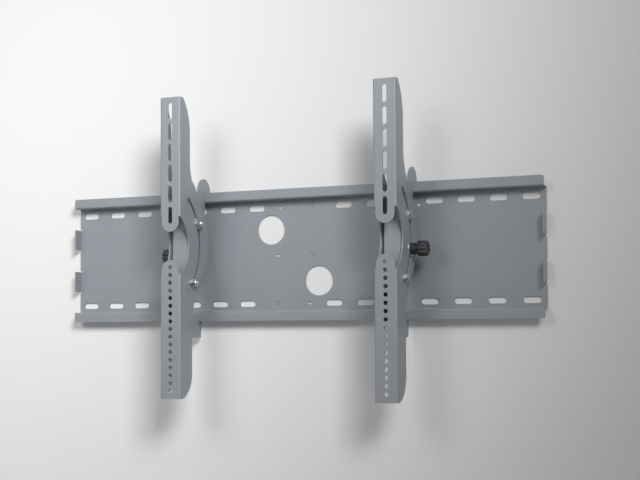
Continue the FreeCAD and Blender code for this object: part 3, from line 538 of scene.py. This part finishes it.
class BRACKET_OT_sheets(bpy.types.Operator):
    """Coat the wall plate, the arms, the hook brackets and the latches, with soft edges."""

    bl_idname = "bracket.sheets"
    bl_label = "Coat the folded sheets"

    def execute(self, context):
        material = powder_coat(context.scene.bracket_finish)
        width = context.scene.bracket_sizes.edge_round
        shift = middle_of("left_screen_arm") - middle_of("right_screen_arm")
        sheets = (("screen_arm", "arm"), ("hook_bracket", "hook"), ("latch", "latch"))
        plate = self.softened("wall_plate", width, material)
        stand_for(plate, "wall_plate", "plate")
        for kind, body in sheets:
            right = self.softened("right_" + kind, width, material)
            left = placed_copy(right, "left_%s_piece" % kind, shift)
            stand_for(right, "right_" + kind, "right_" + body)
            stand_for(left, "left_" + kind, "left_" + body)
        return {"FINISHED"}

    def softened(self, node, width, material):
        """Copy a sheet, merge it and round its cut edges as blasting and coating do."""
        pick(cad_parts[node])
        bpy.ops.object.duplicate()
        piece = added(node + "_piece")

        # Facets that lie flatter than the first angle are one face. Edges sharper than the
        # second are cut edges, and the facets of bends and holes stay below it.
        flat, sharp = math.radians(0.3), math.radians(50)
        bpy.ops.object.mode_set(mode="EDIT")
        bpy.ops.mesh.select_all(action="SELECT")
        bpy.ops.mesh.remove_doubles(threshold=0.001 * MM)
        bpy.ops.mesh.dissolve_limited(angle_limit=flat)
        bpy.ops.object.mode_set(mode="OBJECT")
        apply_modifier(piece, "BEVEL", width=width, segments=2, limit_method="ANGLE",
                       angle_limit=sharp, use_clamp_overlap=True)

        # Large faces keep their own direction, so the light stays even on them.
        smooth(piece, 40)
        apply_modifier(piece, "WEIGHTED_NORMAL", keep_sharp=True, weight=80)
        wear(piece, material)
        return piece


class BRACKET_OT_hardware(bpy.types.Operator):
    """Plate the washers, pins, studs and weld nuts, and finish the liners and sleeves."""

    bl_idname = "bracket.hardware"
    bl_label = "Finish the small hardware"

    def execute(self, context):
        finish = context.scene.bracket_finish
        zinc = zinc_plate(finish)
        nylon = natural_nylon(finish)
        moulded = ("liner", "latch_outer_sleeve", "latch_inner_sleeve")
        plated = ("washer", "sleeve", "pin", "stud", "weld_nut")
        for name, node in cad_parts.items():
            if name.endswith(moulded):
                wear(node, nylon)
            elif name.endswith(plated):
                wear(node, zinc)
        return {"FINISHED"}


class BRACKET_OT_bolts(bpy.types.Operator):
    """Model a hexagon bolt with a chamfered head and a threaded end, and copy it."""

    bl_idname = "bracket.bolts"
    bl_label = "Model the tilt bolts"

    def execute(self, context):
        sizes = context.scene.bracket_sizes
        low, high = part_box("right_upper_bolt")
        seat = end_of("right_upper_outer_washer", True).x
        length = seat - low.x
        radius, depth, pitch = sizes.shank_radius, sizes.thread_depth, sizes.thread_pitch
        core = radius - depth
        start = sizes.thread_length - length
        head = hexagon_block("head", 0, high.x - seat, high.z - low.z, ("high",))

        # The shank starts inside the head, steps down to the thread's core, and ends in a
        # short chamfer.
        sink, step, tip, blunt = 0.2 * MM, 0.3 * MM, 0.6 * MM, 0.5 * MM
        shank = turned("shank", [(sink, radius), (start, radius), (start - step, core),
                                 (tip - length, core), (-length, core - blunt)], around=40)

        # The thread is a triangle, sunk a little into the core and wound towards the tip.
        width, tall, sunk = 0.9 * pitch, 1.1 * depth, 0.26 * depth
        lead, plain_ends = 0.6 * MM, 1.6 * MM
        corner = width / math.sqrt(3)
        deselect_all()
        bpy.ops.mesh.primitive_circle_add(vertices=3, radius=corner,
                                          rotation=(math.pi / 2, 0, 0))
        crest = added("crest")
        crest.scale = (1, tall / (1.5 * corner), 1)
        crest.location = (start - lead, 0, core + sunk)
        settle(crest)
        turns = int((sizes.thread_length - plain_ends) / pitch)
        thread = wound("thread", crest, "X", -turns * pitch, turns, 28)
        model = join([head, shank, thread], "bolt")
        smooth(model, 30)
        wear(model, bpy.data.materials["zinc_plate"])
        for side in SIDES:
            facing = -1 if side == "left" else 1
            for level in LEVELS:
                node = "%s_%s_bolt" % (side, level)
                place = end_of("%s_%s_outer_washer" % (side, level), facing > 0)
                bolt = placed_copy(model, node + "_piece", place, facing)
                stand_for(bolt, node, side + "_hook")
        bpy.data.objects.remove(model)
        return {"FINISHED"}


class BRACKET_OT_nuts(bpy.types.Operator):
    """Model a lock nut with chamfered corners and a rolled collar, and copy it."""

    bl_idname = "bracket.nuts"
    bl_label = "Model the lock nuts"

    def execute(self, context):
        low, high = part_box("left_upper_nut")
        height = high.x - low.x
        flats = high.z - low.z
        hexagon_share = 0.775
        block = hexagon_block("flats", 0, height * hexagon_share, flats, ("low", "high"))

        # Each station is a share of the nut's height, and how far it lies inside the flats.
        shape = ((0.7, 0.5 * MM), (0.9, 0.5 * MM), (0.97, 0.9 * MM), (1, 1.6 * MM),
                 (0.93, 2.2 * MM))
        stations = [(height * share, flats / 2 - inset) for share, inset in shape]
        collar = turned("collar", stations)
        model = join([block, collar], "nut")
        smooth(model, 30)
        wear(model, bpy.data.materials["zinc_plate"])
        for side in SIDES:
            facing = 1 if side == "left" else -1
            for level in LEVELS:
                node = "%s_%s_nut" % (side, level)
                nut = placed_copy(model, node + "_piece", end_of(node, facing < 0), facing)
                stand_for(nut, node, side + "_hook")
        bpy.data.objects.remove(model)
        return {"FINISHED"}


class BRACKET_OT_knobs(bpy.types.Operator):
    """Model a clamping knob with collar, neck and lobed grip, and copy it."""

    bl_idname = "bracket.knobs"
    bl_label = "Model the clamping knobs"

    def execute(self, context):
        sizes = context.scene.bracket_sizes
        low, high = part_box("right_knob")
        length = high.x - low.x
        grip = (high.y - low.y) / 2
        collar = sizes.collar_height
        neck = collar + sizes.neck_height

        # Stations along the stem, with how far each lies inside the collar's radius.
        stem_shape = ((0, 0.8 * MM), (0.6 * MM, 0.1 * MM), (collar - 0.7 * MM, 0.1 * MM),
                      (collar, 0.8 * MM), (collar + 0.3 * MM, 1.4 * MM),
                      (neck + 1 * MM, 1.4 * MM))
        stations = [(place, sizes.collar_radius - inset) for place, inset in stem_shape]
        stem = turned("stem", stations)

        # Stations along the grip, with how far each lies inside its radius: a rounded back,
        # a straight middle, a rounded front and a shallow dish.
        dish = length - 0.6 * MM
        grip_shape = ((neck, 1.5 * MM), (neck + 0.5 * MM, 0.55 * MM), (neck + 1.6 * MM, 0),
                      (length - 1.9 * MM, 0), (length - 0.7 * MM, 0.5 * MM),
                      (length - 0.1 * MM, 1.7 * MM), (length, 3.2 * MM),
                      (length - 0.3 * MM, 4.2 * MM), (dish, grip - 4 * MM),
                      (dish, grip - 1 * MM))
        stations = [(place, grip - inset) for place, inset in grip_shape]
        head = self.lobed_disc(*stations[0], sizes.knob_lobes)
        bpy.ops.object.mode_set(mode="EDIT")
        bpy.ops.mesh.select_all(action="SELECT")
        raise_in_steps(head, stations)
        bpy.ops.object.mode_set(mode="OBJECT")
        outward(head)
        model = join([stem, head], "knob")
        smooth(model, 42)
        wear(model, black_nylon(context.scene.bracket_finish))
        for side in SIDES:
            facing = -1 if side == "left" else 1
            node = side + "_knob"
            knob = placed_copy(model, node + "_piece", end_of(node, facing < 0), facing)
            stand_for(knob, node, side + "_knob")
        bpy.data.objects.remove(model)
        return {"FINISHED"}

    def lobed_disc(self, place, radius, lobes):
        """A disc on the X axis whose rim dips between finger lobes."""
        # Shares of the radius from the middle of a dip up its flank. The rest is full.
        dip = (0.868, 0.876, 0.9, 0.935, 0.968, 0.988)
        points = 16
        deselect_all()
        bpy.ops.mesh.primitive_circle_add(vertices=points * lobes, radius=radius,
                                          location=(place, 0, 0), rotation=(0, math.pi / 2, 0),
                                          fill_type="NGON")
        disc = added("grip")
        settle(disc)
        for step, share in enumerate(dip):
            pick(disc)
            bpy.ops.object.mode_set(mode="EDIT")
            bpy.ops.mesh.select_mode(type="VERT")
            bpy.ops.mesh.select_all(action="DESELECT")
            bpy.ops.object.mode_set(mode="OBJECT")
            for point in disc.data.vertices:
                point.select = point.index % points in (step, (points - step) % points)
            bpy.ops.object.mode_set(mode="EDIT")
            bpy.ops.transform.resize(value=(1, share, share), center_override=(place, 0, 0))
            bpy.ops.object.mode_set(mode="OBJECT")
        return disc


class BRACKET_OT_springs(bpy.types.Operator):
    """Model a latch spring, a close-wound coil with a loop at each end, and copy it."""

    bl_idname = "bracket.springs"
    bl_label = "Model the latch springs"

    def execute(self, context):
        sizes = context.scene.bracket_sizes
        wire, ring = sizes.wire_radius, sizes.ring_radius
        low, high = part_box("right_latch_spring")
        top = middle_of("right_spring_pin")
        bottom = Vector((top.x, high.y - ring - wire, low.z + wire))
        long_way = bottom - top

        # The coil starts below the upper loop and ends above the lower one.
        start = ring + 1.4 * wire
        length = long_way.length - start - 2 * ring
        wire_pitch = 2.3 * wire
        turns = int(length / wire_pitch)
        coil_radius = (high.x - low.x) / 2 - wire
        deselect_all()
        bpy.ops.mesh.primitive_circle_add(vertices=10, radius=wire,
                                          location=(coil_radius, 0, -start),
                                          rotation=(math.pi / 2, 0, 0))
        circle = added("wire")
        settle(circle)
        parts = [wound("coil", circle, "Z", -length, turns, 20)]

        # The loops stand across each other, one about the pin and one through the latch.
        play = 0.05 * MM
        upper_loop = ((0, 0, 0), (0, math.pi / 2, 0))
        lower_loop = ((0, 0, ring - long_way.length), (math.pi / 2, 0, 0))
        for place, turn in (upper_loop, lower_loop):
            deselect_all()
            bpy.ops.mesh.primitive_torus_add(location=place, rotation=turn,
                                             major_radius=ring - play, minor_radius=wire,
                                             major_segments=32, minor_segments=10)
            loop = added("loop")
            settle(loop)
            parts.append(loop)
        model = join(parts, "spring")
        model.rotation_mode = "QUATERNION"
        model.rotation_quaternion = Vector((0, 0, -1)).rotation_difference(long_way)
        settle(model)
        smooth(model, 60)
        wear(model, spring_wire(context.scene.bracket_finish))
        for side in SIDES:
            node = side + "_latch_spring"
            pin = middle_of(side + "_spring_pin")
            spring = placed_copy(model, node + "_piece", pin)
            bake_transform(spring)
            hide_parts(node)
        bpy.data.objects.remove(model)
        return {"FINISHED"}


class BRACKET_OT_stage(bpy.types.Operator):
    """Set up the wall, the floor, the soft lights and the camera."""

    bl_idname = "bracket.stage"
    bl_label = "Set up the stage"

    def execute(self, context):
        finish = context.scene.bracket_finish
        stage = context.scene.bracket_stage
        floor_level, wall_length, wall_height, floor_side = -1.0, 7, 2.8, 9
        behind_plate = 0.6 * MM

        wall = self.panel("wall", wall_length, wall_height, math.pi / 2,
                          (0, behind_plate, floor_level + wall_height / 2))
        wear(wall, wall_paint(finish.wall_colour, "wall_paint"))
        floor = self.panel("floor", floor_side, floor_side, 0, (0, 0, floor_level))
        wear(floor, wall_paint(finish.floor_colour, "floor_paint"))

        # Name, power, size, spread in degrees, place and what it is aimed at.
        lamps = (("key_light", stage.key_power, 1.0, 50, (1.6, -2.2, 1.4), (-0.75, 0, 0.15)),
                 ("fill_light", stage.fill_power, 0.9, 90, (-0.7, -1.8, 0.9), (-0.8, 0, 0.1)),
                 ("back_light", stage.back_power, 1.6, 180, (-1.1, 2.6, 0.8), (0, 0, 0)))
        for name, power, size, spread, place, aim in lamps:
            deselect_all()
            bpy.ops.object.light_add(type="AREA", location=place)
            lamp = bpy.context.object
            lamp.name = name
            lamp.data.energy = power
            lamp.data.size = size
            lamp.data.spread = math.radians(spread)
            towards = Vector(aim) - Vector(place)
            lamp.rotation_euler = towards.to_track_quat("-Z", "Y").to_euler()

        world = bpy.data.worlds.new("studio_air")
        context.scene.world = world
        world.use_nodes = True
        tree = world.node_tree
        tree.nodes.clear()
        # The air gives a weak even light. The camera, metal and glass see a pale backdrop.
        ambient = add(tree, "ShaderNodeBackground",
                      {"Color": (1, 1, 1, 1), "Strength": stage.sky_strength})
        seen = add(tree, "ShaderNodeBackground", {"Color": (0.9, 0.9, 0.9, 1), "Strength": 1.0})
        rays = add(tree, "ShaderNodeLightPath")
        shown = rays.outputs["Is Camera Ray"]
        for kind in ("Is Glossy Ray", "Is Transmission Ray"):
            either = add(tree, "ShaderNodeMath", {"operation": "MAXIMUM"},
                         {0: shown, 1: rays.outputs[kind]})
            shown = either.outputs["Value"]
        mix = add(tree, "ShaderNodeMixShader",
                  links={0: shown, 1: ambient.outputs[0], 2: seen.outputs[0]})
        add(tree, "ShaderNodeOutputWorld", links={"Surface": mix.outputs["Shader"]})

        bpy.ops.object.camera_add(location=stage.camera_place, rotation=stage.camera_turn)
        camera = bpy.context.object
        camera.name = "camera"
        camera.data.sensor_width = 36
        camera.data.lens = stage.lens
        camera.data.shift_x, camera.data.shift_y = stage.lens_shift
        context.scene.camera = camera
        context.scene.view_settings.view_transform = "Standard"
        return {"FINISHED"}

    def panel(self, name, length, height, turn, middle):
        """A flat stage surface, turned about X, with its middle at a point."""
        deselect_all()
        bpy.ops.mesh.primitive_plane_add(size=1, location=middle, rotation=(turn, 0, 0))
        surface = added(name)
        surface.scale = (length, height, 1)
        settle(surface)
        return surface


STEPS = (BRACKET_OT_sheets, BRACKET_OT_hardware, BRACKET_OT_bolts, BRACKET_OT_nuts,
         BRACKET_OT_knobs, BRACKET_OT_springs, BRACKET_OT_stage)


class BRACKET_PT_steps(bpy.types.Panel):
    """Lists the steps that finish the bracket."""

    bl_idname = "BRACKET_PT_steps"
    bl_label = "Wall bracket"
    bl_space_type = "VIEW_3D"
    bl_region_type = "UI"
    bl_category = "Bracket"

    def draw(self, context):
        for step in STEPS:
            self.layout.operator(step.bl_idname)


CLASSES = (BracketFinish, BracketSizes, BracketStage, *STEPS, BRACKET_PT_steps)


def register():
    """Register the classes and hang the settings on the scene."""
    for item in CLASSES:
        bpy.utils.register_class(item)
    bpy.types.Scene.bracket_finish = bpy.props.PointerProperty(type=BracketFinish)
    bpy.types.Scene.bracket_sizes = bpy.props.PointerProperty(type=BracketSizes)
    bpy.types.Scene.bracket_stage = bpy.props.PointerProperty(type=BracketStage)


def unregister():
    """Remove the settings and the classes."""
    del bpy.types.Scene.bracket_stage
    del bpy.types.Scene.bracket_sizes
    del bpy.types.Scene.bracket_finish
    for item in reversed(CLASSES):
        bpy.utils.unregister_class(item)


def main():
    """Run every step in order."""
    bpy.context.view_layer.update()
    register()
    bpy.ops.bracket.sheets()
    bpy.ops.bracket.hardware()
    bpy.ops.bracket.bolts()
    bpy.ops.bracket.nuts()
    bpy.ops.bracket.knobs()
    bpy.ops.bracket.springs()
    bpy.ops.bracket.stage()


if __name__ == "__main__":
    main()
